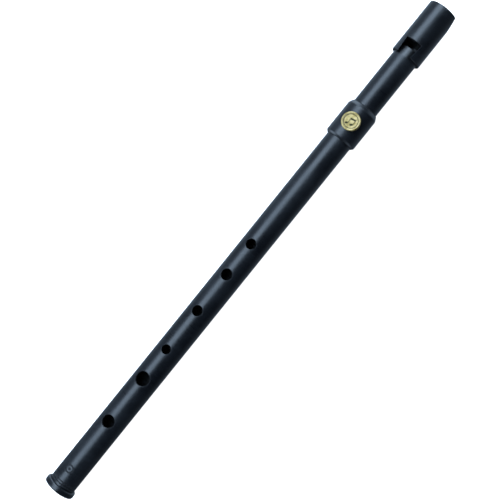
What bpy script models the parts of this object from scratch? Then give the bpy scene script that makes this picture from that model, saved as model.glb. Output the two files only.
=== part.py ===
"""High D tin whistle in black plastic, with a tuning slide, in metres and +Z up.

The whistle lies on its back along X: the foot is at -X, the mouthpiece at +X, and the
window and finger holes face +Z. The origin is on the surface it lies on, under the
middle of its length. Places along the bore are distances from the foot end.
"""

import math

import bmesh
import bpy
from mathutils import Matrix, Vector

# Whole instrument
TOTAL_LENGTH = 0.293
BORE_RADIUS = 0.00515
GLUE_GAP = 0.0001

# Facets round the turned pieces. A flat faces straight up and down, and touches the true circle.
SIDES = 48
RESTING_SIDES = 24  # on the collar and the foot ring, so that the whistle lies without rolling

# Body tube and its finger holes, as (distance from the foot end, diameter)
BODY_RADIUS = 0.00675
BODY_END = 0.2194
FINGER_HOLES = (
    (0.0413, 0.00645),
    (0.0671, 0.0073),
    (0.0849, 0.0048),
    (0.1083, 0.0054),
    (0.1303, 0.00575),
    (0.1487, 0.0053),
)
HOLE_SIDES = 24
FOOT_GROOVES = (0.00435, 0.0056)
FOOT_GROOVE_WIDTH = 0.0004
FOOT_GROOVE_DEPTH = 0.00015
END_EASING = 0.0003

# Foot ring
RING_LENGTH = 0.0031
RING_RADIUS = 0.0079
RING_ROUNDING = 0.0005

# Socket collar, which is glued to the body tube and receives the head's tenon
COLLAR_START = 0.2134
COLLAR_END = 0.2331
COLLAR_RADIUS = 0.0081
COLLAR_CHAMFER = 0.0011
COLLAR_SHOULDER = 0.2309
SOCKET_RADIUS = 0.00665
SOCKET_FLOOR = 0.2196

# Head tube, whose lower end is the tenon with two seal rings
HEAD_RADIUS = 0.0065
TENON_START = 0.2198
SEAL_PLACES = (0.2215, 0.2245)
SEAL_GROOVE_WIDTH = 0.0011
SEAL_GROOVE_RADIUS = 0.0058
SEAL_RADIUS = 0.006215
SEAL_SECTION_RADIUS = 0.000385
SEAL_SECTION_SIDES = 6

# Window, blade and windway
WINDOW_END = 0.2717
BLADE_EDGE = 0.268
BLADE_RADIUS = 0.00545
RAMP_START = 0.2625
RAMP_FACETS = 16  # of the cone over the blade, which run past the windway's sides
WINDWAY_HALF_WIDTH = 0.00425
WINDWAY_FLOOR_RADIUS = 0.0055

# Mouthpiece cap
CAP_START = 0.2638
CAP_RADIUS = 0.0078
CAP_TIP_RADIUS = 0.00772
CAP_EASING = 0.0004
NOTCH_OPEN_HALF_WIDTH = 0.00365

# Beak: an arc cut across the mouthpiece's back, from its heel to its tip
BEAK_HEEL = 0.2753
BEAK_TIP_HEIGHT = 0.0019  # of the tip's underside over the bore's axis
BEAK_ARC_RADIUS = 0.094
BEAK_ARC_STEPS = 14

# Badge on the collar, turned a little from the line of the finger holes
BADGE_PLACE = 0.2231
BADGE_RADIUS = 0.00475
BADGE_TOP = 0.00855  # over the bore's axis
BADGE_RIM_WIDTH = 0.0005
BADGE_RIM_HEIGHT = 0.00012
BADGE_TURN = math.radians(6)

# How far cutters run past what they cut
CLEAR = 0.001

COLOURS = {
    "black_plastic": ((0.012, 0.013, 0.015), 0.38, 0.0),
    "grey_plug": ((0.02, 0.021, 0.024), 0.5, 0.0),
    "seal_rubber": ((0.008, 0.008, 0.008), 0.7, 0.0),
    "gilt_brass": ((0.80, 0.68, 0.36), 0.35, 1.0),
}

AXIS_HEIGHT = COLLAR_RADIUS


def clear_scene():
    for obj in list(bpy.data.objects):
        bpy.data.objects.remove(obj, do_unlink=True)


def material(name, slot):
    colour, roughness, metallic = COLOURS[slot]
    made = bpy.data.materials.new(f"{name}_{slot}")
    made.use_nodes = True
    shader = made.node_tree.nodes["Principled BSDF"]
    shader.inputs["Base Color"].default_value = (*colour, 1.0)
    shader.inputs["Roughness"].default_value = roughness
    shader.inputs["Metallic"].default_value = metallic
    return made


def frame_empty(name, parent=None):
    """An empty on the bore's axis at the foot end, which carries one moving body."""
    empty = bpy.data.objects.new(name, None)
    bpy.context.scene.collection.objects.link(empty)
    empty.parent = parent
    if parent is None:
        empty.location = (-TOTAL_LENGTH / 2, 0.0, AXIS_HEIGHT)
    return empty


def add_object(name, shape, parent):
    """An object from a finished bmesh, with its origin on the bore's axis at the foot end."""
    bmesh.ops.recalc_face_normals(shape, faces=shape.faces[:])
    mesh = bpy.data.meshes.new(name)
    shape.to_mesh(mesh)
    shape.free()
    mesh.shade_smooth()
    mesh.set_sharp_from_angle(angle=math.radians(30))
    obj = bpy.data.objects.new(name, mesh)
    bpy.context.scene.collection.objects.link(obj)
    obj.parent = parent
    return obj


def turned_shape(outline, sides, first=0.5, count=None):
    """A closed outline of (distance along X, radius) points, spun about X.

    It starts first facets round from +Z and goes on for count facets, or all the way.
    """
    shape = bmesh.new()
    count = sides if count is None else count
    facet = math.tau / sides
    reach = 1 / math.cos(facet / 2)
    corners = [shape.verts.new((x, 0.0, radius * reach)) for x, radius in outline]
    edges = [shape.edges.new(pair) for pair in zip(corners, corners[1:] + corners[:1])]
    section = corners + edges
    if count < sides:
        section = section + [shape.faces.new(corners)]
    bmesh.ops.rotate(shape, verts=corners, matrix=Matrix.Rotation(first * facet, 3, "X"))
    bmesh.ops.spin(
        shape,
        geom=section,
        angle=count * facet,
        steps=count,
        axis=(1.0, 0.0, 0.0),
        cent=(0.0, 0.0, 0.0),
        use_merge=count == sides,
        use_duplicate=False,
    )
    bmesh.ops.remove_doubles(shape, verts=shape.verts[:], dist=1e-7)
    flat = [f for f in shape.faces if f.calc_area() < 1e-13]
    bmesh.ops.delete(shape, geom=flat, context="FACES_ONLY")
    return shape


def turned(name, outline, parent, sides=SIDES):
    return add_object(name, turned_shape(outline, sides), parent)


def prism(name, outline, across, low, high, parent):
    """A flat outline of two coordinates, pushed from low to high along the third axis."""
    shape = bmesh.new()
    first, second = (i for i in range(3) if i != across)
    corners = []
    for point in outline:
        place = Vector((0.0, 0.0, 0.0))
        place[first], place[second], place[across] = *point, low
        corners.append(shape.verts.new(place))
    push = Vector((0.0, 0.0, 0.0))
    push[across] = high - low
    pushed = bmesh.ops.extrude_face_region(shape, geom=[shape.faces.new(corners)])
    far = [v for v in pushed["geom"] if isinstance(v, bmesh.types.BMVert)]
    bmesh.ops.translate(shape, verts=far, vec=push)
    return add_object(name, shape, parent)


def box_outline(low_x, high_x, half_width):
    return [
        (low_x, -half_width),
        (high_x, -half_width),
        (high_x, half_width),
        (low_x, half_width),
    ]


def as_cutter(obj):
    obj.hide_render = True
    obj.display_type = "WIRE"
    return obj


def cut(obj, cutter, operation="DIFFERENCE"):
    boolean = obj.modifiers.new(cutter.name, "BOOLEAN")
    boolean.operation = operation
    boolean.solver = "EXACT"
    boolean.object = cutter


def finger_hole_cutter(parent):
    shape = bmesh.new()
    for place, diameter in FINGER_HOLES:
        bmesh.ops.create_cone(
            shape,
            cap_ends=True,
            segments=HOLE_SIDES,
            radius1=diameter / 2,
            radius2=diameter / 2,
            depth=BODY_RADIUS + CLEAR,
            matrix=Matrix.Translation((place, 0.0, (BODY_RADIUS + CLEAR) / 2)),
        )
    return as_cutter(add_object("finger_hole_cutter", shape, parent))


def body_tube(parent):
    inner, outer = BORE_RADIUS, BODY_RADIUS
    outline = [(END_EASING, outer), (0.0, outer - END_EASING)]
    outline += [(0.0, inner + END_EASING), (END_EASING, inner)]
    outline += [(BODY_END, inner), (BODY_END, outer)]
    for place in reversed(FOOT_GROOVES):
        half = FOOT_GROOVE_WIDTH / 2
        outline += [(place + half, outer), (place, outer - FOOT_GROOVE_DEPTH), (place - half, outer)]
    tube = turned("body_tube", outline, parent)
    cut(tube, finger_hole_cutter(parent))
    tube.data.materials.append(material("body_tube", "black_plastic"))


def foot_ring(parent):
    inner, soft = BODY_RADIUS + GLUE_GAP, RING_ROUNDING
    outline = [
        (0.0, inner),
        (0.0, RING_RADIUS - soft),
        (soft, RING_RADIUS),
        (RING_LENGTH - soft, RING_RADIUS),
        (RING_LENGTH, RING_RADIUS - soft),
        (RING_LENGTH, inner),
    ]
    ring = turned("foot_ring", outline, parent, RESTING_SIDES)
    ring.data.materials.append(material("foot_ring", "black_plastic"))


def socket_collar(parent):
    seat = BODY_RADIUS + GLUE_GAP
    mouth = SOCKET_RADIUS + 1.5 * GLUE_GAP
    shoulder_length = COLLAR_END - COLLAR_SHOULDER
    outline = [
        (COLLAR_START, seat),
        (COLLAR_START, COLLAR_RADIUS - COLLAR_CHAMFER),
        (COLLAR_START + COLLAR_CHAMFER, COLLAR_RADIUS),
        (COLLAR_SHOULDER, COLLAR_RADIUS),
        (COLLAR_SHOULDER + 0.6 * shoulder_length, 0.45 * COLLAR_RADIUS + 0.55 * mouth),
        (COLLAR_END, mouth + 1.5 * GLUE_GAP),
        (COLLAR_END, mouth),
        (COLLAR_END - 2 * GLUE_GAP, SOCKET_RADIUS),
        (SOCKET_FLOOR, SOCKET_RADIUS),
        (SOCKET_FLOOR, seat),
    ]
    collar = turned("socket_collar", outline, parent, RESTING_SIDES)
    collar.data.materials.append(material("socket_collar", "black_plastic"))


def badge(parent):
    """A round badge with a flat face and a raised rim, its back hollowed to sit on the collar."""
    rim_inside = BADGE_RADIUS - BADGE_RIM_WIDTH
    easing = BADGE_RIM_HEIGHT
    outline = [
        (COLLAR_RADIUS / 2, 0.0),
        (COLLAR_RADIUS / 2, BADGE_RADIUS),
        (BADGE_TOP - easing, BADGE_RADIUS),
        (BADGE_TOP, BADGE_RADIUS - easing),
        (BADGE_TOP, rim_inside),
        (BADGE_TOP - BADGE_RIM_HEIGHT, rim_inside - easing),
        (BADGE_TOP - BADGE_RIM_HEIGHT, 0.0),
    ]
    disc = turned("badge", outline, parent)
    disc.location.x = BADGE_PLACE
    upright = Matrix.Rotation(-math.pi / 2, 3, "Y")
    disc.rotation_euler = (Matrix.Rotation(BADGE_TURN, 3, "X") @ upright).to_euler()
    saddle = COLLAR_RADIUS + GLUE_GAP / 2
    reach = BADGE_RADIUS + CLEAR
    barrel = [(BADGE_PLACE - reach, 0.0), (BADGE_PLACE - reach, saddle)]
    barrel += [(BADGE_PLACE + reach, saddle), (BADGE_PLACE + reach, 0.0)]
    cut(disc, as_cutter(turned("badge_saddle_cutter", barrel, parent, RESTING_SIDES)))
    disc.data.materials.append(material("badge", "gilt_brass"))


def beak_cutter(parent):
    """The space behind the beak: an arc from the heel to the tip, closed below the whistle."""
    heel = Vector((BEAK_HEEL, -CAP_RADIUS))
    tip = Vector((TOTAL_LENGTH, BEAK_TIP_HEIGHT))
    chord = tip - heel
    away = Vector((chord.y, -chord.x)).normalized()
    drop = math.sqrt(BEAK_ARC_RADIUS**2 - (chord.length / 2) ** 2)
    centre = (heel + tip) / 2 + away * drop
    overrun = CLEAR / BEAK_ARC_RADIUS
    start = math.atan2(heel.y - centre.y, heel.x - centre.x) + overrun
    end = math.atan2(tip.y - centre.y, tip.x - centre.x) - overrun
    outline = []
    for step in range(BEAK_ARC_STEPS + 1):
        angle = start + (end - start) * step / BEAK_ARC_STEPS
        outline.append(
            (
                centre.x + BEAK_ARC_RADIUS * math.cos(angle),
                centre.y + BEAK_ARC_RADIUS * math.sin(angle),
            )
        )
    outline.append((outline[-1][0], outline[0][1]))
    reach = CAP_RADIUS + CLEAR
    return as_cutter(prism("beak_cutter", outline, 1, -reach, reach, parent))


def ramp_cutter(parent):
    """The space over the blade: a cone that falls to the blade's edge, as wide as the windway."""
    slope = (HEAD_RADIUS - BLADE_RADIUS) / (BLADE_EDGE - RAMP_START)
    over, past = CLEAR / 4, CLEAR / 4
    outline = [
        (RAMP_START - over / slope, HEAD_RADIUS + over),
        (BLADE_EDGE + past, BLADE_RADIUS - past * slope),
        (BLADE_EDGE + past, HEAD_RADIUS + over),
    ]
    shape = turned_shape(outline, SIDES, -RAMP_FACETS / 2, RAMP_FACETS)
    cutter = as_cutter(add_object("ramp_cutter", shape, parent))
    band = box_outline(RAMP_START - 2 * CLEAR, BLADE_EDGE + CLEAR, WINDWAY_HALF_WIDTH)
    sides = as_cutter(prism("ramp_band", band, 2, 0.0, HEAD_RADIUS + CLEAR, parent))
    cut(cutter, sides, "INTERSECT")
    return cutter


def head_tube(parent, beak):
    """The neck tube: its tenon and seal grooves below, its blade and open windway above."""
    inner, outer = BORE_RADIUS, HEAD_RADIUS
    easing = 2 * GLUE_GAP
    outline = [(TENON_START, inner), (TENON_START, outer - easing), (TENON_START + easing, outer)]
    for place in SEAL_PLACES:
        low, high = place - SEAL_GROOVE_WIDTH / 2, place + SEAL_GROOVE_WIDTH / 2
        outline += [(low, outer), (low, SEAL_GROOVE_RADIUS)]
        outline += [(high, SEAL_GROOVE_RADIUS), (high, outer)]
    outline += [(TOTAL_LENGTH, outer), (TOTAL_LENGTH, inner)]
    tube = turned("head_tube", outline, parent)
    slot = box_outline(BLADE_EDGE, TOTAL_LENGTH + CLEAR, WINDWAY_HALF_WIDTH)
    floor = BORE_RADIUS / 3
    slot_cutter = prism("windway_slot_cutter", slot, 2, floor, HEAD_RADIUS + CLEAR, parent)
    cut(tube, ramp_cutter(parent))
    cut(tube, as_cutter(slot_cutter))
    cut(tube, beak)
    tube.data.materials.append(material("head_tube", "black_plastic"))


def seal_ring(name, place, parent):
    """One rubber ring in its groove on the tenon, with its own round section."""
    outline = []
    for step in range(SEAL_SECTION_SIDES):
        angle = math.tau * (step + 0.5) / SEAL_SECTION_SIDES
        along = SEAL_SECTION_RADIUS * math.sin(angle)
        outline.append((place + along, SEAL_RADIUS + SEAL_SECTION_RADIUS * math.cos(angle)))
    ring = turned(name, outline, parent)
    ring.data.materials.append(material(name, "seal_rubber"))


def fipple_plug(parent, beak):
    """The block in the bore's upper end, raised into the slot as the windway's floor."""
    core = BORE_RADIUS - GLUE_GAP
    key = WINDWAY_HALF_WIDTH - GLUE_GAP
    key_turn = math.asin(key / WINDWAY_FLOOR_RADIUS)
    core_turn = math.asin(key / core)
    key_steps, core_steps = SIDES // 4, SIDES - SIDES // 4
    outline = []
    for step in range(key_steps + 1):
        angle = key_turn * (2 * step / key_steps - 1)
        outline.append((math.sin(angle) * WINDWAY_FLOOR_RADIUS, math.cos(angle) * WINDWAY_FLOOR_RADIUS))
    for step in range(core_steps + 1):
        angle = core_turn + (math.tau - 2 * core_turn) * step / core_steps
        outline.append((math.sin(angle) * core, math.cos(angle) * core))
    plug = prism("fipple_plug", outline, 0, WINDOW_END, TOTAL_LENGTH, parent)
    cut(plug, beak)
    plug.data.materials.append(material("fipple_plug", "grey_plug"))


def mouthpiece_cap(parent, beak):
    """The cap over the head tube, notched for the window and cut away behind as a beak."""
    inner = HEAD_RADIUS + GLUE_GAP
    outline = [
        (CAP_START, inner),
        (CAP_START, CAP_RADIUS - CAP_EASING),
        (CAP_START + CAP_EASING, CAP_RADIUS),
        (TOTAL_LENGTH - CAP_EASING, CAP_TIP_RADIUS),
        (TOTAL_LENGTH, CAP_TIP_RADIUS - CAP_EASING),
        (TOTAL_LENGTH, inner),
    ]
    cap = turned("mouthpiece_cap", outline, parent)
    taper = (WINDWAY_HALF_WIDTH - NOTCH_OPEN_HALF_WIDTH) / (WINDOW_END - CAP_START)
    open_half = NOTCH_OPEN_HALF_WIDTH - taper * CLEAR
    notch = [
        (CAP_START - CLEAR, -open_half),
        (WINDOW_END, -WINDWAY_HALF_WIDTH),
        (WINDOW_END, WINDWAY_HALF_WIDTH),
        (CAP_START - CLEAR, open_half),
    ]
    floor = HEAD_RADIUS / 2
    cut(cap, as_cutter(prism("notch_cutter", notch, 2, floor, CAP_RADIUS + CLEAR, parent)))
    cut(cap, beak)
    cap.data.materials.append(material("mouthpiece_cap", "black_plastic"))


def build():
    clear_scene()
    body = frame_empty("body_frame")
    seal = frame_empty("seal_frame", body)
    head = frame_empty("head_frame", seal)
    body_tube(body)
    foot_ring(body)
    socket_collar(body)
    badge(body)
    for name, place in zip(("tenon_ring_lower", "tenon_ring_upper"), SEAL_PLACES):
        seal_ring(name, place, seal)
    beak = beak_cutter(head)
    head_tube(head, beak)
    fipple_plug(head, beak)
    mouthpiece_cap(head, beak)


build()
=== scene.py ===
"""The looks of a high D tin whistle in satin black plastic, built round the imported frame.

Places along the bore are distances from the foot end. Angles round the bore start at the
line of the finger holes, +Z, and grow towards +Y. All sizes are in metres.
"""

import math

import bmesh
import bpy
from mathutils import Matrix, Vector


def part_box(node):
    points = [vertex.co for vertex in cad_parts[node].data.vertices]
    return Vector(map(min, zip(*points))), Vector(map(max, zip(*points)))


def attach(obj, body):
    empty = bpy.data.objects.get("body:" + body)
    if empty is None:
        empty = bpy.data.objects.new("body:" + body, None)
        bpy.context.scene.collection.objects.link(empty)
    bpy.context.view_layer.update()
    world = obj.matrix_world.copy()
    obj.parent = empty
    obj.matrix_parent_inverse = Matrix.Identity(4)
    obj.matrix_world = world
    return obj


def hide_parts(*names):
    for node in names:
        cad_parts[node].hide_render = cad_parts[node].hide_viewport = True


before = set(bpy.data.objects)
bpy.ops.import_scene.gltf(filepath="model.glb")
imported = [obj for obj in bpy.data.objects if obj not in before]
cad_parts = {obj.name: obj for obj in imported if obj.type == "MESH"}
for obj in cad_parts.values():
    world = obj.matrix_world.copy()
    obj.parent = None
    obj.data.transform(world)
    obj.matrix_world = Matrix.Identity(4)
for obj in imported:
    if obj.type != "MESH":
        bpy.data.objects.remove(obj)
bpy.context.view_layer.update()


# Read from the frame
FOOT_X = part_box("body_tube")[0].x
AXIS_Z = sum(corner.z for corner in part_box("socket_collar")) / 2
TOTAL_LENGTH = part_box("mouthpiece_cap")[1].x - FOOT_X
BODY_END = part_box("body_tube")[1].x - FOOT_X
RING_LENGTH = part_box("foot_ring")[1].x - FOOT_X
COLLAR_START, COLLAR_END = (corner.x - FOOT_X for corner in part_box("socket_collar"))
TENON_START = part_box("head_tube")[0].x - FOOT_X
CAP_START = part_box("mouthpiece_cap")[0].x - FOOT_X
WINDOW_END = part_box("fipple_plug")[0].x - FOOT_X
SEAL_PLACES = {
    node: sum(corner.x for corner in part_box(node)) / 2 - FOOT_X
    for node in ("tenon_ring_lower", "tenon_ring_upper")
}

# Radii of the true circles that the frame's flats touch
BODY_RADIUS = 0.00675
BORE_RADIUS = 0.00515
RING_RADIUS = 0.0079
COLLAR_RADIUS = 0.0081
SOCKET_RADIUS = 0.00665
HEAD_RADIUS = 0.0065
CAP_RADIUS = 0.0078
CAP_TIP_RADIUS = 0.00772
GLUE_GAP = 0.0001
FINE_EASING = 0.0001

# Body tube: its finger holes as (distance from the foot end, diameter)
FINGER_HOLES = (
    (0.0413, 0.00645),
    (0.0671, 0.0073),
    (0.0849, 0.0048),
    (0.1083, 0.0054),
    (0.1303, 0.00575),
    (0.1487, 0.0053),
)
HOLE_EASING = 0.00012
END_EASING = 0.0003
FOOT_GROOVES = (0.00435, 0.0056)
GROOVE_HALF_WIDTH = 0.00028
GROOVE_DEPTH = 0.00032
STAMP_PLACE = 0.0125
STAMP_RADIUS = 0.0022
STAMP_DEPTH = 0.00013

# Foot ring and collar
RING_ROUNDING = 0.0009
COLLAR_CHAMFER = 0.0011
COLLAR_ROUNDING = 0.0003
CONE_ROUNDING = 0.0006
COLLAR_SHOULDER = 0.2309
SOCKET_FLOOR = 0.2196

# Badge on the collar, turned a little from the line of the finger holes
BADGE_PLACE = 0.2231
BADGE_RADIUS = 0.0047
BADGE_TOP = 0.00855
BADGE_FIELD = 0.0084
BADGE_RIM_WIDTH = 0.00072
BADGE_TURN = math.radians(6)
ENAMEL_TOP = 0.00846

# Mouthpiece
TENON_EASING = 0.0002
SEAL_GROOVE_HALF_WIDTH = 0.00055
SEAL_GROOVE_RADIUS = 0.0058
SEAL_RADIUS = 0.006215
SEAL_SECTION_RADIUS = 0.000385
HEAD_ROUNDING = 0.00008
RAMP_START = 0.2625
BLADE_EDGE = 0.268
BLADE_RADIUS = 0.00545
WINDWAY_HALF_WIDTH = 0.00425
WINDWAY_FLOOR_RADIUS = 0.0055
NOTCH_OPEN_HALF_WIDTH = 0.00365
CAP_ROUNDING = 0.00045
BEAK_HEEL = 0.2753
BEAK_TIP_HEIGHT = 0.0019
BEAK_ARC_RADIUS = 0.094

# How finely round pieces are divided
SIDES = 128
TUBE_SIDES = 96
SEAL_SECTION_SIDES = 16
EASING_STEPS = 6
SHARP = math.radians(33)

# Camera and light. The tilt is from straight overhead towards -Y, and the roll is in the picture.
CAMERA_TILT = math.radians(15.5)
CAMERA_ROLL = math.radians(51.14)
CAMERA_DISTANCE = 0.508
CAMERA_LENS = 76.58
AIM = Vector((-0.0003, 0.0003, AXIS_Z))
STUDIO_RADIUS = 4.0
STUDIO_GLOW = 1.1
STUDIO_TINT = (0.60, 0.78, 1.0)


# ---- Meshes -------------------------------------------------------------------------


def spaced(start, end, count):
    """count + 1 evenly spaced values."""
    return [start + (end - start) * step / count for step in range(count + 1)]


def on_barrel(x, radius, angle):
    return Vector((x, radius * math.sin(angle), radius * math.cos(angle)))


def on_plan(x, y, radius, drop=0.0):
    """The point over (x, y) on the upper side of a barrel, sunk by drop."""
    return Vector((x, y, math.sqrt(max(radius * radius - y * y, 0.0)) - drop))


def sheet(shape, rows, closed=False):
    """Quads between rows of points. closed joins the ends of each row."""
    grid = [[shape.verts.new(point) for point in row] for row in rows]
    for near, far in zip(grid, grid[1:]):
        pairs = list(zip(near, far))
        if closed:
            pairs.append(pairs[0])
        for (a, b), (d, c) in zip(pairs, pairs[1:]):
            shape.faces.new((a, b, c, d))


def barrel_row(x, radius, turns):
    return [on_barrel(x, radius, turn) for turn in turns]


def rings(points, sides):
    """A full ring of points for each (x, radius)."""
    turns = spaced(0.0, math.tau, sides)[:-1]
    return [barrel_row(x, radius, turns) for x, radius in points]


def eased(corners):
    """An outline of (x, radius, easing) corners, with each corner rounded by its easing."""
    points = []
    for index, (x, radius, easing) in enumerate(corners):
        corner = Vector((x, radius))
        if not easing:
            points.append(corner)
            continue
        before = Vector(corners[index - 1][:2]) - corner
        after = Vector(corners[(index + 1) % len(corners)][:2]) - corner
        start = corner + before.normalized() * easing
        end = corner + after.normalized() * easing
        for t in spaced(0.0, 1.0, EASING_STEPS):
            points.append(start * (1 - t) ** 2 + corner * (2 * t * (1 - t)) + end * t**2)
    return points


def turned(corners):
    """A closed turned solid from an outline of (x, radius, easing) corners."""
    shape = bmesh.new()
    outline = eased(corners)
    sheet(shape, rings(outline + outline[:1], SIDES), closed=True)
    return shape


def make_piece(name, shape, body, material, node=None, bevel=0.0, share_at=None):
    """A finished piece from a mesh that is still in sheets.

    bevel rounds its sharp edges, each by the share that share_at gives for the edge's middle.
    """
    bmesh.ops.remove_doubles(shape, verts=shape.verts[:], dist=2e-7)
    bmesh.ops.recalc_face_normals(shape, faces=shape.faces[:])
    if bevel:
        weights = shape.edges.layers.float.new("bevel_weight_edge")
        for edge in shape.edges:
            if abs(edge.calc_face_angle_signed(0.0)) > SHARP:
                middle = (edge.verts[0].co + edge.verts[1].co) / 2
                edge[weights] = share_at(middle) if share_at else 1.0
    mesh = bpy.data.meshes.new(name)
    shape.to_mesh(mesh)
    shape.free()
    mesh.shade_smooth()
    mesh.materials.append(material)
    piece = bpy.data.objects.new(name, mesh)
    bpy.context.scene.collection.objects.link(piece)
    piece.location = (FOOT_X, 0.0, AXIS_Z)
    if bevel:
        rounding = piece.modifiers.new("edge_rounding", "BEVEL")
        rounding.limit_method = "WEIGHT"
        rounding.width = bevel
        rounding.segments = 3
        rounding.use_clamp_overlap = True
        shading = piece.modifiers.new("flat_faces_stay_flat", "WEIGHTED_NORMAL")
        shading.keep_sharp = True
    else:
        mesh.set_sharp_from_angle(angle=SHARP)
    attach(piece, body)
    if node:
        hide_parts(node)
    return piece


# ---- Body tube ----------------------------------------------------------------------

# The patch of tube round each hole or stamp, which is divided to meet a circle
PATCH_SIDES = 14  # each way from the line of the holes
PATCH_STATIONS = 14
PATCH_MARGIN = 0.0012
PATCH_ROWS = 3
WALL_ROWS = 4


def patch_loop(centre, half, radius):
    """The patch's edge as (x, y) points seen from above, all the way round."""
    along = spaced(centre - half, centre + half, PATCH_STATIONS)
    wing = math.tau * PATCH_SIDES / TUBE_SIDES
    across = spaced(-wing, wing, 2 * PATCH_SIDES)
    loop = [(x, -wing) for x in along[:-1]]
    loop += [(along[-1], turn) for turn in across[:-1]]
    loop += [(x, wing) for x in reversed(along[1:])]
    loop += [(along[0], turn) for turn in reversed(across[1:])]
    return [(x, radius * math.sin(turn)) for x, turn in loop]


def circle_towards(loop, centre, reach):
    """A circle's (x, y) points, one in the direction of each point of the loop."""
    turns = [math.atan2(y, x - centre) for x, y in loop]
    return [(centre + reach * math.cos(t), reach * math.sin(t)) for t in turns]


def patch_rows(loop, circle, radius):
    """Rows on a barrel from a patch's edge to a circle, without the circle's own row."""
    rows = []
    for t in spaced(0.0, 1.0, PATCH_ROWS)[:-1]:
        pairs = zip(loop, circle)
        rows.append([on_plan(x + (u - x) * t, y + (v - y) * t, radius) for (x, y), (u, v) in pairs])
    return rows


def rest_of_barrel(shape, centre, half, radius):
    """The barrel beside a patch, round the back."""
    wing = math.tau * PATCH_SIDES / TUBE_SIDES
    turns = spaced(wing, math.tau - wing, TUBE_SIDES - 2 * PATCH_SIDES)
    along = spaced(centre - half, centre + half, PATCH_STATIONS)
    sheet(shape, [barrel_row(x, radius, turns) for x in along])


def drill(shape, centre, diameter):
    """A finger hole with an eased rim and a straight wall. Returns where its patch starts and ends."""
    reach = diameter / 2
    half = reach + PATCH_MARGIN
    outer = patch_loop(centre, half, BODY_RADIUS)
    inner = patch_loop(centre, half, BORE_RADIUS)
    rows = patch_rows(outer, circle_towards(outer, centre, reach + HOLE_EASING), BODY_RADIUS)
    for turn in spaced(0.0, math.pi / 2, EASING_STEPS):
        wide = reach + HOLE_EASING * (1 - math.sin(turn))
        drop = HOLE_EASING * (1 - math.cos(turn))
        rows.append([on_plan(x, y, BODY_RADIUS, drop) for x, y in circle_towards(outer, centre, wide)])
    wall = circle_towards(outer, centre, reach)
    wall_top = rows[-1]
    wall_foot = [on_plan(x, y, BORE_RADIUS) for x, y in wall]
    for t in spaced(0.0, 1.0, WALL_ROWS)[1:]:
        rows.append([top.lerp(foot, t) for top, foot in zip(wall_top, wall_foot)])
    rows += patch_rows(inner, wall, BORE_RADIUS)[::-1]
    sheet(shape, rows, closed=True)
    rest_of_barrel(shape, centre, half, BODY_RADIUS)
    rest_of_barrel(shape, centre, half, BORE_RADIUS)
    return centre - half, centre + half


def stamp(shape, centre):
    """A shallow ring with a dot in it, pressed into the tube. Returns where its patch starts and ends."""
    half = STAMP_RADIUS + PATCH_MARGIN
    outer = patch_loop(centre, half, BODY_RADIUS)
    soft = 0.6 * STAMP_DEPTH
    ring_inside, dot = 0.62 * STAMP_RADIUS, 0.3 * STAMP_RADIUS
    profile = (
        (STAMP_RADIUS, 0.0),
        (STAMP_RADIUS - soft, STAMP_DEPTH),
        (ring_inside + soft, STAMP_DEPTH),
        (ring_inside, 0.0),
        (dot, 0.0),
        (dot - soft, STAMP_DEPTH),
        (0.0, STAMP_DEPTH),
    )
    rows = patch_rows(outer, circle_towards(outer, centre, STAMP_RADIUS), BODY_RADIUS)
    for reach, drop in profile:
        circle = circle_towards(outer, centre, reach)
        rows.append([on_plan(x, y, BODY_RADIUS, drop) for x, y in circle])
    sheet(shape, rows, closed=True)
    rest_of_barrel(shape, centre, half, BODY_RADIUS)
    return centre - half, centre + half


def body_tube(material):
    shape = bmesh.new()
    stamped = stamp(shape, STAMP_PLACE)
    drilled = [drill(shape, place, diameter) for place, diameter in FINGER_HOLES]
    first, last = drilled[0][0], drilled[-1][1]
    stops = [stop for ends in drilled for stop in ends]
    for start, end in zip([stamped[1]] + stops[1::2], stops[::2]):
        sheet(shape, rings([(start, BODY_RADIUS), (end, BODY_RADIUS)], TUBE_SIDES), closed=True)
    for start, end in zip(stops[1::2], stops[2::2]):
        sheet(shape, rings([(start, BORE_RADIUS), (end, BORE_RADIUS)], TUBE_SIDES), closed=True)
    foot = [(first, BORE_RADIUS, 0), (0.0, BORE_RADIUS, END_EASING), (0.0, BODY_RADIUS, END_EASING)]
    soft = GROOVE_HALF_WIDTH / 4
    for place in FOOT_GROOVES:
        foot.append((place - GROOVE_HALF_WIDTH, BODY_RADIUS, soft))
        foot.append((place, BODY_RADIUS - GROOVE_DEPTH, soft))
        foot.append((place + GROOVE_HALF_WIDTH, BODY_RADIUS, soft))
    foot.append((stamped[0], BODY_RADIUS, 0))
    top = [(last, BODY_RADIUS, 0), (BODY_END, BODY_RADIUS, END_EASING)]
    top += [(BODY_END, BORE_RADIUS, END_EASING), (last, BORE_RADIUS, 0)]
    for outline in (foot, top):
        sheet(shape, rings(eased(outline), TUBE_SIDES), closed=True)
    make_piece("drilled_body_tube", shape, "body", material, "body_tube")


# ---- Foot ring, collar and seal rings -----------------------------------------------


def foot_ring(material):
    inside = BODY_RADIUS + GLUE_GAP
    corners = (
        (0.0, inside, FINE_EASING),
        (0.0, RING_RADIUS, RING_ROUNDING),
        (RING_LENGTH, RING_RADIUS, RING_ROUNDING),
        (RING_LENGTH, inside, FINE_EASING),
    )
    shape = turned(corners)
    make_piece("turned_foot_ring", shape, "body", material, "foot_ring")


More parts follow.
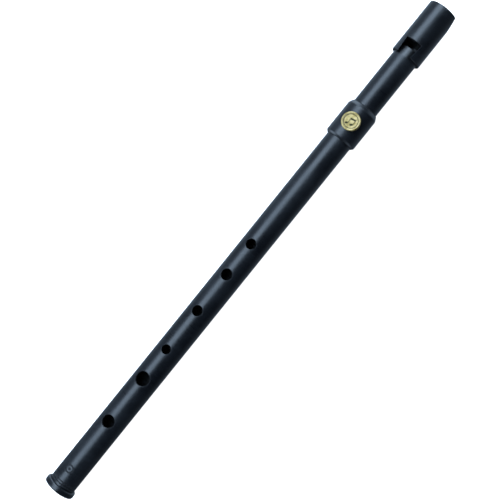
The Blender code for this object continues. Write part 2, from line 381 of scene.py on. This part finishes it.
def socket_collar(material):
    seat = BODY_RADIUS + GLUE_GAP
    lip = SOCKET_RADIUS + 3 * GLUE_GAP
    shoulder_length = COLLAR_END - COLLAR_SHOULDER
    corners = (
        (COLLAR_START, seat, FINE_EASING / 2),
        (COLLAR_START, COLLAR_RADIUS - COLLAR_CHAMFER, 0.6 * FINE_EASING),
        (COLLAR_START + COLLAR_CHAMFER, COLLAR_RADIUS, COLLAR_ROUNDING),
        (COLLAR_SHOULDER, COLLAR_RADIUS, COLLAR_ROUNDING),
        (COLLAR_SHOULDER + 0.6 * shoulder_length, 0.45 * COLLAR_RADIUS + 0.55 * lip, CONE_ROUNDING),
        (COLLAR_END, lip, FINE_EASING),
        (COLLAR_END, SOCKET_RADIUS, FINE_EASING),
        (SOCKET_FLOOR, SOCKET_RADIUS, FINE_EASING),
        (SOCKET_FLOOR, seat, FINE_EASING / 2),
    )
    shape = turned(corners)
    make_piece("turned_socket_collar", shape, "body", material, "socket_collar")


def seal_rings(material):
    for node, place in SEAL_PLACES.items():
        shape = bmesh.new()
        section = []
        for turn in spaced(0.0, math.tau, SEAL_SECTION_SIDES):
            along = place + SEAL_SECTION_RADIUS * math.sin(turn)
            section.append((along, SEAL_RADIUS + SEAL_SECTION_RADIUS * math.cos(turn)))
        sheet(shape, rings(section, TUBE_SIDES), closed=True)
        make_piece("round_" + node, shape, "seal", material, node)


# ---- Badge --------------------------------------------------------------------------

BADGE_SIDES = 96
NOTE_HEADS = ((-0.00135, -0.00155), (0.0012, -0.0011))
NOTE_HEAD_RADII = (0.00076, 0.00056)
NOTE_HEAD_LEAN = 0.35
NOTE_HEAD_STEPS = 28
STEM_WIDTH = 0.00034
STEM_HEIGHT = 0.0029
BEAM_DEPTH = 0.00085
ENAMEL_RING_RADIUS = 0.00345
ENAMEL_RING_HALF_WIDTH = 0.00017


def on_badge(right, up, height):
    """A point on the badge, where up is towards the mouthpiece and height is from the bore's axis."""
    point = Vector((BADGE_PLACE + up, -right, height))
    return Matrix.Rotation(BADGE_TURN, 3, "X") @ point


def badge_ring(reach, height):
    turns = spaced(0.0, math.tau, BADGE_SIDES)[:-1]
    return [on_badge(reach * math.sin(t), reach * math.cos(t), height) for t in turns]


def saddle_ring(reach):
    """A ring of the badge's back, which sits on the collar."""
    turns = spaced(0.0, math.tau, BADGE_SIDES)[:-1]
    saddle = COLLAR_RADIUS + GLUE_GAP / 2
    ring = []
    for turn in turns:
        right = reach * math.sin(turn)
        ring.append(on_badge(right, reach * math.cos(turn), math.sqrt(saddle**2 - right**2)))
    return ring


def badge(metal):
    """A round badge with a raised rim, saddled on the collar. Its outer edge falls by drop."""
    easing, rounding, drop = 0.00015, 0.0005, 0.00034
    rim_inside = BADGE_RADIUS - BADGE_RIM_WIDTH
    rows = [saddle_ring(BADGE_RADIUS * share) for share in spaced(0.0, 1.0, 10)]
    for turn in spaced(0.0, math.pi / 2, EASING_STEPS):
        reach = BADGE_RADIUS - rounding * (1 - math.cos(turn))
        rows.append(badge_ring(reach, BADGE_TOP - drop * (1 - math.sin(turn))))
    for t in spaced(0.0, 1.0, EASING_STEPS):
        swell = (1 + math.cos(math.pi * t)) / 2
        height = BADGE_FIELD + (BADGE_TOP - BADGE_FIELD) * swell
        rows.append(badge_ring(rim_inside + easing * (1 - 2 * t), height))
    rows += [badge_ring(rim_inside * share, BADGE_FIELD) for share in (0.75, 0.5, 0.25, 0.0)]
    shape = bmesh.new()
    sheet(shape, rows, closed=True)
    make_piece("gilt_badge", shape, "body", metal, "badge")


def note_pair():
    """The outline of two notes under one beam, as (right, up) points."""
    wide, high = NOTE_HEAD_RADII
    stem_side = math.acos((wide - STEM_WIDTH) / wide)
    heads = []
    for right, up in NOTE_HEADS:
        head = []
        for turn in spaced(0.0, stem_side - math.tau, NOTE_HEAD_STEPS):
            sunk = NOTE_HEAD_LEAN * wide * (1 - math.cos(turn))
            head.append((right + wide * math.cos(turn), up + high * math.sin(turn) - sunk))
        heads.append(head)
    left, right = heads
    rise = NOTE_HEADS[1][1] - NOTE_HEADS[0][1]
    slope = rise / (NOTE_HEADS[1][0] - NOTE_HEADS[0][0])
    beam_top = NOTE_HEADS[0][1] + STEM_HEIGHT

    def over(point, drop=0.0):
        return (point[0], beam_top + slope * (point[0] - left[-1][0]) - drop)

    outline = left + [over(left[-1]), over(right[0])]
    outline += right + [over(right[-1], BEAM_DEPTH), over(left[0], BEAM_DEPTH)]
    return outline


def badge_enamel(material):
    """A pair of notes inside a thin ring, laid on the badge's field."""
    shape = bmesh.new()
    base = BADGE_FIELD - GLUE_GAP / 2
    outline = note_pair()
    top = [shape.verts.new(on_badge(*point, ENAMEL_TOP)) for point in outline]
    low = [shape.verts.new(on_badge(*point, base)) for point in outline]
    shape.faces.new(top)
    shape.faces.new(low)
    for a, b, c, d in zip(top, top[1:] + top[:1], low[1:] + low[:1], low):
        shape.faces.new((a, b, c, d))
    outside = ENAMEL_RING_RADIUS + ENAMEL_RING_HALF_WIDTH
    inside = ENAMEL_RING_RADIUS - ENAMEL_RING_HALF_WIDTH
    section = [(outside, base), (outside, ENAMEL_TOP), (inside, ENAMEL_TOP), (inside, base)]
    sheet(shape, [badge_ring(*corner) for corner in section + section[:1]], closed=True)
    make_piece("badge_enamel", shape, "body", material)


# ---- Mouthpiece ---------------------------------------------------------------------

# Columns round a wall that the beak cuts: over the windway, beside it, and round the back
TOP_COLUMNS = 16
SIDE_COLUMNS = 16
BACK_COLUMNS = 36
BEAK_ROWS = 10


def beak_centre():
    heel = Vector((BEAK_HEEL, -CAP_RADIUS))
    tip = Vector((TOTAL_LENGTH, BEAK_TIP_HEIGHT))
    chord = tip - heel
    away = Vector((chord.y, -chord.x)).normalized()
    return (heel + tip) / 2 + away * math.sqrt(BEAK_ARC_RADIUS**2 - (chord.length / 2) ** 2)


BEAK_CENTRE = beak_centre()


def end_at(height):
    """Where the mouthpiece ends at that height over the axis: at its tip, or on the beak's arc."""
    rise = height - BEAK_CENTRE.y
    return min(TOTAL_LENGTH, BEAK_CENTRE.x - math.sqrt(BEAK_ARC_RADIUS**2 - rise**2))


def cap_radius(x):
    share = (x - CAP_START) / (TOTAL_LENGTH - CAP_START)
    return CAP_RADIUS + (CAP_TIP_RADIUS - CAP_RADIUS) * share


def ramp_radius(x):
    share = max(0.0, (x - RAMP_START) / (BLADE_EDGE - RAMP_START))
    return HEAD_RADIUS + (BLADE_RADIUS - HEAD_RADIUS) * share


def notch_half_width(x):
    share = (x - CAP_START) / (WINDOW_END - CAP_START)
    return NOTCH_OPEN_HALF_WIDTH + (WINDWAY_HALF_WIDTH - NOTCH_OPEN_HALF_WIDTH) * share


def everywhere(size):
    """A radius or half width that is the same at every place along the bore."""
    return lambda x: size


cap_inside = everywhere(HEAD_RADIUS + GLUE_GAP)
head_radius = everywhere(HEAD_RADIUS)
bore_radius = everywhere(BORE_RADIUS)
windway_half_width = everywhere(WINDWAY_HALF_WIDTH)


def back_turns(half_width, radius):
    """Angles from one side of the windway round the back to its other side."""
    side, tip = math.asin(half_width / radius), math.acos(BEAK_TIP_HEIGHT / radius)
    half = spaced(side, tip, SIDE_COLUMNS)[:-1] + spaced(tip, math.pi, BACK_COLUMNS)[:-1]
    return half + [math.pi] + [math.tau - turn for turn in reversed(half)]


def top_turns(half_width, radius):
    side = math.asin(half_width / radius)
    return spaced(-side, side, TOP_COLUMNS)


def rows_between(stops, radius_at, turns_at, half_width_at):
    """Rows of a wall at each stop, with turns that keep to the sides of the windway or notch."""
    rows = []
    for x in stops:
        radius = radius_at(x)
        rows.append(barrel_row(x, radius, turns_at(half_width_at(x), radius)))
    return rows


def rows_to_end(start, radius_at, turns):
    """Rows from start to where the mouthpiece ends at each angle.

    The radius there and the end depend on each other, so a few rounds find both.
    """
    ends = []
    for turn in turns:
        x = TOTAL_LENGTH
        for _ in range(4):
            x = end_at(radius_at(x) * math.cos(turn))
        ends.append(x)
    rows = []
    for t in spaced(0.0, 1.0, BEAK_ROWS):
        places = [start + (end - start) * t for end in ends]
        rows.append([on_barrel(x, radius_at(x), turn) for x, turn in zip(places, turns)])
    return rows


def side_columns(rows):
    """The first and the last column of some rows."""
    return [row[0] for row in rows], [row[-1] for row in rows]


def cap_rounding_share(place):
    """Fully rounded outside at both ends, barely at the notch, and a little elsewhere."""
    if abs(place.y) <= WINDWAY_HALF_WIDTH + GLUE_GAP and 0 < place.z and place.x <= WINDOW_END:
        return 0.2
    if math.hypot(place.y, place.z) > CAP_TIP_RADIUS - GLUE_GAP:
        if place.x < CAP_START + GLUE_GAP or place.x > TOTAL_LENGTH - GLUE_GAP:
            return 1.0
    return 0.45


def mouthpiece_cap(material):
    """The cap: its notch is open at the lower edge, and its back is cut by the beak's arc."""
    shape = bmesh.new()
    skins = []
    for radius_at in (cap_radius, cap_inside):
        stops = spaced(CAP_START, WINDOW_END, 4)
        radius = radius_at(WINDOW_END)
        skin = {
            "beside": rows_between(stops, radius_at, back_turns, notch_half_width),
            "behind": rows_to_end(WINDOW_END, radius_at, back_turns(WINDWAY_HALF_WIDTH, radius)),
            "above": rows_to_end(WINDOW_END, radius_at, top_turns(WINDWAY_HALF_WIDTH, radius)),
        }
        for rows in skin.values():
            sheet(shape, rows)
        skins.append(skin)
    outer, inner = skins
    sheet(shape, [outer["beside"][0], inner["beside"][0]])
    for notch_side in zip(side_columns(outer["beside"]), side_columns(inner["beside"])):
        sheet(shape, notch_side)
    sheet(shape, [outer["above"][0], inner["above"][0]])
    for part in ("behind", "above"):
        sheet(shape, [outer[part][-1], inner[part][-1]])
    name = "moulded_mouthpiece_cap"
    slot, node = "cap_plastic", "mouthpiece_cap"
    make_piece(name, shape, "head", material, node, CAP_ROUNDING, cap_rounding_share)


def tenon_outline():
    """The tube from the ramp down to its tenon and round into the bore, as (x, radius) points."""
    corners = [(RAMP_START, HEAD_RADIUS, 0), (COLLAR_END, HEAD_RADIUS, 0)]
    for place in sorted(SEAL_PLACES.values(), reverse=True):
        low, high = place - SEAL_GROOVE_HALF_WIDTH, place + SEAL_GROOVE_HALF_WIDTH
        corners += [(high, HEAD_RADIUS, HEAD_ROUNDING), (high, SEAL_GROOVE_RADIUS, FINE_EASING)]
        corners += [(low, SEAL_GROOVE_RADIUS, FINE_EASING), (low, HEAD_RADIUS, HEAD_ROUNDING)]
    corners += [(TENON_START, HEAD_RADIUS, TENON_EASING), (TENON_START, BORE_RADIUS, TENON_EASING)]
    corners.append((COLLAR_END, BORE_RADIUS, 0))
    return eased(corners)


def bore_share(x, radius):
    """How far a row of the tenon's outline has gone from the outside's turns to the bore's turns."""
    if x > TENON_START + TENON_EASING and radius > SEAL_GROOVE_RADIUS - GLUE_GAP:
        return 0.0
    return (HEAD_RADIUS - max(radius, BORE_RADIUS)) / (HEAD_RADIUS - BORE_RADIUS)


def head_tube(material):
    """The neck: tenon and seal grooves below, then the ramp, the blade and the open windway."""
    shape = bmesh.new()
    half = WINDWAY_HALF_WIDTH
    outline = tenon_outline()
    for turns_at in (back_turns, top_turns):
        pairs = list(zip(turns_at(half, HEAD_RADIUS), turns_at(half, BORE_RADIUS)))
        rows = []
        for x, radius in outline:
            share = bore_share(x, radius)
            rows.append([on_barrel(x, radius, a + (b - a) * share) for a, b in pairs])
        sheet(shape, rows)
    ramp = spaced(RAMP_START, BLADE_EDGE, 8)
    bore = spaced(COLLAR_END, BLADE_EDGE, 8)
    beside = rows_between(ramp, head_radius, back_turns, windway_half_width)
    beside_bore = rows_between(bore, bore_radius, back_turns, windway_half_width)
    blade = rows_between(ramp, ramp_radius, top_turns, windway_half_width)
    blade_bore = rows_between(bore, bore_radius, top_turns, windway_half_width)
    behind = rows_to_end(BLADE_EDGE, head_radius, back_turns(half, HEAD_RADIUS))
    behind_bore = rows_to_end(BLADE_EDGE, bore_radius, back_turns(half, BORE_RADIUS))
    for rows in (beside, beside_bore, blade, blade_bore, behind, behind_bore):
        sheet(shape, rows)
    sheet(shape, [blade[-1], blade_bore[-1]])
    sheet(shape, [behind[-1], behind_bore[-1]])
    # top_turns starts at the side where back_turns ends
    blade_sides = side_columns(blade)[::-1]
    for high, low in zip(side_columns(beside), blade_sides):
        sheet(shape, [high, low])
    walls = zip(side_columns(behind), side_columns(behind_bore), blade_sides)
    for outer, inner, edge in walls:
        # The blade's corner is a third point on the side wall's first edge
        sheet(shape, [[outer[0], edge[-1], inner[0]], [outer[1], inner[1], inner[1]]])
        sheet(shape, [outer[1:], inner[1:]])
    slot, node = "head_plastic", "head_tube"
    make_piece("turned_head_tube", shape, "head", material, node, HEAD_ROUNDING)


def plug_half_section():
    """Half of the plug's outline from its top to its bottom, as (y, z) points."""
    core, key = BORE_RADIUS - GLUE_GAP, WINDWAY_HALF_WIDTH - GLUE_GAP
    floor = WINDWAY_FLOOR_RADIUS
    tip = math.acos(BEAK_TIP_HEIGHT / core)
    points = [(floor * math.sin(t), floor * math.cos(t)) for t in spaced(0.0, math.asin(key / floor), 8)]
    turns = spaced(math.asin(key / core), tip, 8)[:-1] + spaced(tip, math.pi, 36)
    return points + [(core * math.sin(turn), core * math.cos(turn)) for turn in turns]


def fipple_plug(material):
    """The block under the windway, whose key is the windway's floor."""
    shape = bmesh.new()
    half = plug_half_section()
    for end in (lambda z: WINDOW_END, end_at):
        sheet(shape, [[Vector((end(z), y, z)), Vector((end(z), -y, z))] for y, z in half])
    loop = half + [(-y, z) for y, z in reversed(half[1:-1])]
    rows = []
    for t in spaced(0.0, 1.0, BEAK_ROWS):
        rows.append([Vector((WINDOW_END + (end_at(z) - WINDOW_END) * t, y, z)) for y, z in loop])
    sheet(shape, rows, closed=True)
    slot, node = "plug_plastic", "fipple_plug"
    make_piece("windway_block", shape, "head", material, node, FINE_EASING)


# ---- Materials ----------------------------------------------------------------------

MIX_FACTOR, MIX_A, MIX_B = 0, 6, 7  # sockets of a Mix node set to colours

# Black plastic: painted shade for its recesses, its two mottled shades, and worn
PAINTED_RECESS_SHADE = (0.0012, 0.0014, 0.0018, 1.0)
BLACK = (0.0028, 0.0035, 0.005, 1.0)
SOOT = (0.006, 0.0072, 0.0092, 1.0)
WORN = (0.026, 0.03, 0.036, 1.0)
WEAR_WIDTH = 0.00025
# Down to the first depth under its outside a piece gets rubbed; from the second depth down, its recesses,
# bores and joints get painted shade.
RUBBED_DEPTH = 0.00003  # how far under its outside a piece still gets rubbed
PAINTED_SHADE_DEPTH = 0.00014  # how far under it a recess begins

RUBBER_BLACK = (0.006, 0.006, 0.007, 1.0)
RUBBER_BLOOM = (0.028, 0.028, 0.03, 1.0)
GILT = (0.49, 0.37, 0.16, 1.0)
DULL_GILT = (0.27, 0.195, 0.06, 1.0)
RUBBED_GILT = (0.72, 0.60, 0.32, 1.0)
ENAMEL = (0.012, 0.008, 0.002, 1.0)
PITTED_ENAMEL = (0.045, 0.034, 0.008, 1.0)
THIN_ENAMEL = (0.5, 0.43, 0.18, 1.0)


def add_node(tree, kind, sockets=None, **settings):
    """A node with its settings, whose sockets take numbers, colours or another node's output."""
    made = tree.nodes.new(kind)
    for name, value in settings.items():
        setattr(made, name, value)
    for name, value in (sockets or {}).items():
        if isinstance(value, bpy.types.NodeSocket):
            tree.links.new(value, made.inputs[name])
        else:
            made.inputs[name].default_value = value
    return made


def new_material(name, metallic=0.0, **shader_values):
    made = bpy.data.materials.new(name)
    made.use_nodes = True
    tree = made.node_tree
    shader = tree.nodes["Principled BSDF"]
    shader.inputs["Metallic"].default_value = metallic
    for socket, value in shader_values.items():
        shader.inputs[socket.replace("_", " ")].default_value = value
    place = add_node(tree, "ShaderNodeTexCoord").outputs["Object"]
    return made, tree, shader, place


def stretched(tree, place, along, around):
    """Object coordinates scaled along the bore and across it."""
    sockets = {"Vector": place, "Scale": (along, around, around)}
    return add_node(tree, "ShaderNodeMapping", sockets).outputs["Vector"]


def noise(tree, place, scale, detail=3.0, roughness=0.55):
    """Noise from 0 to 1, whose scale is in features to a metre where place is in metres."""
    sockets = {"Vector": place, "Scale": scale, "Detail": detail, "Roughness": roughness}
    return add_node(tree, "ShaderNodeTexNoise", sockets).outputs["Fac"]


def remap(tree, value, low, high, to_low=0.0, to_high=1.0):
    sockets = {"Value": value, "From Min": low, "From Max": high, "To Min": to_low, "To Max": to_high}
    return add_node(tree, "ShaderNodeMapRange", sockets, clamp=True).outputs["Result"]


def combine(tree, operation, a, b):
    return add_node(tree, "ShaderNodeMath", {0: a, 1: b}, operation=operation).outputs["Value"]


def value_mix(tree, factor, a, b):
    """A Mix node's numbers are its sockets 2 and 3."""
    return add_node(tree, "ShaderNodeMix", {0: factor, 2: a, 3: b}).outputs[0]


def colour_mix(tree, factor, a, b):
    sockets = {MIX_FACTOR: factor, MIX_A: a, MIX_B: b}
    return add_node(tree, "ShaderNodeMix", sockets, data_type="RGBA").outputs[2]


def edge_wear(tree, place, radius):
    """1 on worn edges: where a rounded normal leaves the true one, broken up by noise."""
    rounded = add_node(tree, "ShaderNodeBevel", {"Radius": radius}, samples=4).outputs["Normal"]
    true = add_node(tree, "ShaderNodeNewGeometry").outputs["Normal"]
    sockets = {0: rounded, 1: true}
    dot = add_node(tree, "ShaderNodeVectorMath", sockets, operation="DOT_PRODUCT").outputs["Value"]
    edge = remap(tree, dot, 0.99, 0.86)
    patches = remap(tree, noise(tree, place, 900.0, 4.0), 0.38, 0.62)
    return combine(tree, "MULTIPLY", edge, patches)


def rubbed_and_unshaded_zone(tree, place, radius):
    """1 on surfaces that get rubbed, about that far from the bore's axis or further. 0 in recesses, which
    are painted in shade.
    """
    sockets = {0: stretched(tree, place, 0.0, 1.0)}
    reach = add_node(tree, "ShaderNodeVectorMath", sockets, operation="LENGTH").outputs["Value"]
    return remap(tree, reach, radius - PAINTED_SHADE_DEPTH, radius - RUBBED_DEPTH)


def hairlines(tree, place, turn, scale):
    """1 on fine straight scratches that run one way."""
    rotated = add_node(tree, "ShaderNodeMapping", {"Vector": place, "Rotation": (0.0, 0.3, turn)})
    sockets = {"Vector": rotated.outputs["Vector"], "Scale": (scale, scale / 22, scale / 22)}
    drawn = add_node(tree, "ShaderNodeMapping", sockets).outputs["Vector"]
    return remap(tree, noise(tree, drawn, 1.0, 2.0, 0.4), 0.70, 0.76)


def bump(tree, height, distance, strength=1.0, onto=None):
    sockets = {"Height": height, "Distance": distance, "Strength": strength}
    if onto:
        sockets["Normal"] = onto
    return add_node(tree, "ShaderNodeBump", sockets).outputs["Normal"]


def plastic(name, outside, roughness, recess_roughness, lathe):
    """Satin black plastic: mottled, with a fine moulded grain, turning marks, handling scratches and
    painted shade in recesses.

    outside is how far out from the bore's axis it gets rubbed; under it the plastic is painted in
    shade. lathe is how deep its turning marks are.
    """
    made, tree, shader, place = new_material(name, IOR=1.54, Specular_IOR_Level=0.5)
    clouds = noise(tree, place, 70.0, 5.0)
    grain = noise(tree, place, 4200.0, 2.0)
    turning = noise(tree, stretched(tree, place, 5200.0, 90.0), 1.0, 2.0, 0.6)
    rubbed_and_unshaded = rubbed_and_unshaded_zone(tree, place, outside)
    wear = combine(tree, "MULTIPLY", edge_wear(tree, place, WEAR_WIDTH), rubbed_and_unshaded)
    scratches = combine(
        tree, "MAXIMUM", hairlines(tree, place, 0.35, 2600.0), hairlines(tree, place, -0.8, 1900.0)
    )
    scratches = combine(tree, "MULTIPLY", scratches, rubbed_and_unshaded)
    body = colour_mix(tree, remap(tree, clouds, 0.35, 0.68), BLACK, SOOT)
    # Below its rubbing radius the plastic takes a painted shade colour in place of the mottled black:
    # hole walls, bores, the window and joints.
    body = colour_mix(tree, rubbed_and_unshaded, PAINTED_RECESS_SHADE, body)
    marks = combine(tree, "MAXIMUM", wear, combine(tree, "MULTIPLY", scratches, 0.35))
    tree.links.new(colour_mix(tree, marks, body, WORN), shader.inputs["Base Color"])
    satin = remap(tree, clouds, 0.3, 0.7, roughness - 0.04, roughness + 0.05)
    satin = value_mix(tree, rubbed_and_unshaded, recess_roughness, satin)
    streaks = combine(tree, "MULTIPLY", remap(tree, turning, 0.3, 0.7, -1.0, 1.0), 0.05 * lathe)
    polished = combine(tree, "MULTIPLY", wear, -0.1)
    satin = combine(tree, "ADD", combine(tree, "ADD", satin, streaks), polished)
    tree.links.new(satin, shader.inputs["Roughness"])
    normal = bump(tree, grain, 0.000006)
    normal = bump(tree, turning, 0.000004, lathe, normal)
    normal = bump(tree, scratches, -0.000008, 0.6, normal)
    tree.links.new(normal, shader.inputs["Normal"])
    return made


def rubber():
    """Matt seal rubber with a dusty bloom and a moulded grain."""
    made, tree, shader, place = new_material("seal_rubber_black", IOR=1.5)
    bloom = remap(tree, noise(tree, place, 600.0, 5.0), 0.4, 0.75)
    tree.links.new(colour_mix(tree, bloom, RUBBER_BLACK, RUBBER_BLOOM), shader.inputs["Base Color"])
    tree.links.new(remap(tree, bloom, 0.0, 1.0, 0.55, 0.85), shader.inputs["Roughness"])
    grain = noise(tree, place, 5000.0, 3.0)
    tree.links.new(bump(tree, grain, 0.00001), shader.inputs["Normal"])
    return made


def gilt():
    """Pale gilt metal: brushed one way, duller in patches, with brighter rubbed edges."""
    made, tree, shader, place = new_material("badge_pale_gilt", metallic=0.75)
    patches = noise(tree, place, 520.0, 5.0)
    brushed = noise(tree, stretched(tree, place, 700.0, 9000.0), 1.0, 3.0)
    rubbed = edge_wear(tree, place, 0.00015)
    field = colour_mix(tree, remap(tree, patches, 0.4, 0.62), GILT, DULL_GILT)
    tree.links.new(colour_mix(tree, rubbed, field, RUBBED_GILT), shader.inputs["Base Color"])
    satin = remap(tree, patches, 0.3, 0.7, 0.36, 0.52)
    streaks = remap(tree, brushed, 0.3, 0.7, -0.06, 0.06)
    tree.links.new(combine(tree, "ADD", satin, streaks), shader.inputs["Roughness"])
    normal = bump(tree, brushed, 0.000004)
    normal = bump(tree, patches, 0.00001, 0.5, normal)
    tree.links.new(normal, shader.inputs["Normal"])
    return made


def enamel():
    """Dark olive enamel, slightly pitted, with gilt showing through where it has rubbed thin."""
    made, tree, shader, place = new_material("badge_dark_enamel", IOR=1.35)
    pits = noise(tree, place, 2600.0, 4.0)
    thin = combine(tree, "MULTIPLY", edge_wear(tree, place, 0.00008), 0.7)
    body = colour_mix(tree, remap(tree, pits, 0.35, 0.7), ENAMEL, PITTED_ENAMEL)
    tree.links.new(colour_mix(tree, thin, body, THIN_ENAMEL), shader.inputs["Base Color"])
    tree.links.new(remap(tree, pits, 0.3, 0.7, 0.55, 0.8), shader.inputs["Roughness"])
    tree.links.new(bump(tree, pits, 0.00001), shader.inputs["Normal"])
    return made


# ---- Studio -------------------------------------------------------------------------


def studio_material(name):
    """A plain white surface with its own glow. It can be seen through from behind."""
    made = bpy.data.materials.new(name)
    made.use_nodes = True
    tree = made.node_tree
    tree.nodes.clear()
    paint = add_node(tree, "ShaderNodeBsdfDiffuse", {"Color": (0.8, 0.8, 0.8, 1.0)})
    light = add_node(tree, "ShaderNodeEmission", {"Strength": STUDIO_GLOW})
    both = add_node(tree, "ShaderNodeAddShader", {0: paint.outputs[0], 1: light.outputs[0]})
    clear = add_node(tree, "ShaderNodeBsdfTransparent")
    behind = add_node(tree, "ShaderNodeNewGeometry").outputs["Backfacing"]
    seen = add_node(
        tree, "ShaderNodeMixShader", {0: behind, 1: both.outputs[0], 2: clear.outputs[0]}
    )
    add_node(tree, "ShaderNodeOutputMaterial", {"Surface": seen.outputs[0]})
    return made


def studio_object(name, outline):
    """A surface turned about Z from (radius, height) points, facing the object."""
    shape = bmesh.new()
    turns = spaced(0.0, math.tau, 64)[:-1]
    rows = [[Vector((r * math.cos(t), r * math.sin(t), z)) for t in turns] for r, z in outline]
    sheet(shape, rows, closed=True)
    bmesh.ops.remove_doubles(shape, verts=shape.verts[:], dist=1e-5)
    mesh = bpy.data.meshes.new(name)
    shape.to_mesh(mesh)
    shape.free()
    mesh.shade_smooth()
    mesh.materials.append(studio_material(name + "_white"))
    made = bpy.data.objects.new(name, mesh)
    bpy.context.scene.collection.objects.link(made)
    made.visible_glossy = False
    made.visible_diffuse = False
    made.visible_shadow = False


def studio():
    studio_object("studio_floor", [(0.0, 0.0), (STUDIO_RADIUS / 8, 0.0), (STUDIO_RADIUS, 0.0)])
    dome = [
        (STUDIO_RADIUS * math.cos(turn), STUDIO_RADIUS * math.sin(turn))
        for turn in spaced(0.0, math.pi / 2, 24)
    ]
    studio_object("studio_backdrop", dome)


def view_axes():
    """The camera's way back from the object, and the way across the bore towards its dark side."""
    back = Vector((0.0, -math.sin(CAMERA_TILT), math.cos(CAMERA_TILT)))
    dark_side = Vector((0.0, -math.cos(CAMERA_TILT), -math.sin(CAMERA_TILT)))
    return back, dark_side


def camera():
    back, dark_side = view_axes()
    along = Vector((1.0, 0.0, 0.0))
    right = along * math.cos(CAMERA_ROLL) + dark_side * math.sin(CAMERA_ROLL)
    up = along * math.sin(CAMERA_ROLL) - dark_side * math.cos(CAMERA_ROLL)
    lens = bpy.data.cameras.new("photo_camera")
    lens.lens = CAMERA_LENS
    lens.clip_start = 0.01
    lens.clip_end = 3 * STUDIO_RADIUS
    made = bpy.data.objects.new("photo_camera", lens)
    made.matrix_world = Matrix.Translation(AIM + back * CAMERA_DISTANCE) @ Matrix(
        (right, up, back)
    ).transposed().to_4x4()
    bpy.context.scene.collection.objects.link(made)
    bpy.context.scene.camera = made


def softbox(name, aim, lean, turn, skew, distance, size, power):
    """A soft area light turned from the camera's side away from the dark side, and leant to +X.

    Its length lies along the bore, but for its skew, which swings its +X end away from the dark side.
    """
    back, dark_side = view_axes()
    towards = back * math.cos(turn) - dark_side * math.sin(turn)
    along = Vector((math.cos(lean), 0.0, 0.0)) - towards * math.sin(lean)
    towards = towards * math.cos(lean) + Vector((math.sin(lean), 0.0, 0.0))
    lamp = bpy.data.lights.new(name, "AREA")
    lamp.shape = "RECTANGLE"
    lamp.size, lamp.size_y = size
    lamp.energy = power
    lamp.color = STUDIO_TINT
    made = bpy.data.objects.new(name, lamp)
    turned_to = Matrix((along, towards.cross(along), towards)).transposed().to_4x4()
    turned_to = turned_to @ Matrix.Rotation(skew, 4, "Z")
    made.matrix_world = Matrix.Translation(aim + towards * distance) @ turned_to
    made.visible_camera = False
    bpy.context.scene.collection.objects.link(made)


def softboxes():
    """A long one over the whole whistle, and a short one that the ramp at the window reflects."""
    turn, skew, lean = (math.radians(angle) for angle in (33, 15, 35))
    softbox("key_softbox", AIM, 0.0, turn, skew, distance=1.2, size=(1.9, 0.8), power=23.8)
    window = Vector((FOOT_X + BLADE_EDGE, 0.0, AXIS_Z))
    softbox("head_softbox", window, lean, 0.7 * turn, 0.0, distance=1.3, size=(0.5, 0.8), power=6.0)


def world_light():
    """Dim light from all round, brighter on the lit side, from below and slantwise from both ends.

    It is dimmer from the foot's end. side is 1 towards the lit side and -1 towards the dark one.
    """
    world = bpy.data.worlds.new("studio_world")
    bpy.context.scene.world = world
    world.use_nodes = True
    tree = world.node_tree
    direction = add_node(tree, "ShaderNodeTexCoord").outputs["Generated"]
    sockets = {0: direction, 1: -view_axes()[1]}
    side = add_node(tree, "ShaderNodeVectorMath", sockets, operation="DOT_PRODUCT").outputs["Value"]
    sky = tree.nodes["Background"]
    sky.inputs["Color"].default_value = (*STUDIO_TINT, 1.0)
    parts = add_node(tree, "ShaderNodeSeparateXYZ", {"Vector": direction}).outputs
    around = remap(tree, side, -0.1, 0.95, 0.03, 0.47)
    below = remap(tree, parts["Z"], 0.0, -0.8)
    below = combine(tree, "MULTIPLY", below, remap(tree, side, -0.6, 0.6, 0.4, 1.1))
    across = combine(tree, "MULTIPLY", side, side)
    along = combine(tree, "MULTIPLY", parts["X"], parts["X"])
    ends = combine(tree, "MULTIPLY", remap(tree, along, 0.16, 0.6), remap(tree, along, 0.95, 0.7))
    ends = combine(tree, "MULTIPLY", ends, remap(tree, across, 0.0, 0.3, 0.07, 4.0))
    ends = combine(tree, "MULTIPLY", ends, remap(tree, side, -0.3, 0.3, 0.25, 1.0))
    foot_end = remap(tree, parts["X"], -0.3, 0.0, 0.28, 1.0)
    strength = combine(tree, "MULTIPLY", combine(tree, "ADD", around, below), foot_end)
    strength = combine(tree, "ADD", strength, ends)
    tree.links.new(strength, sky.inputs["Strength"])


# ---- Build --------------------------------------------------------------------------


def build():
    bpy.context.scene.view_settings.view_transform = "Standard"
    # Each plastic: from what radius it gets rubbed and is not painted in shade, its roughness, its
    # roughness in recesses, and its turning marks. The foot ring and the collar get rubbed where they
    # stand clear of the tube, and get painted shade where they meet it.
    sleeve = BODY_RADIUS + 4 * GLUE_GAP
    body_tube(plastic("tube_black", BODY_RADIUS, 0.34, 0.8, 1.0))
    foot_ring(plastic("foot_ring_black", sleeve, 0.30, 0.5, 1.3))
    socket_collar(plastic("collar_black", sleeve + GLUE_GAP, 0.34, 0.8, 0.8))
    head_tube(plastic("head_black", HEAD_RADIUS, 0.34, 0.31, 1.0))
    mouthpiece_cap(plastic("cap_black", CAP_TIP_RADIUS, 0.34, 0.9, 0.4))
    # The whole plug lies below its rubbing radius, so all of it is painted in shade.
    fipple_plug(plastic("plug_black", CAP_RADIUS, 0.5, 0.35, 0.3))
    seal_rings(rubber())
    badge(gilt())
    badge_enamel(enamel())
    studio()
    camera()
    softboxes()
    world_light()


build()
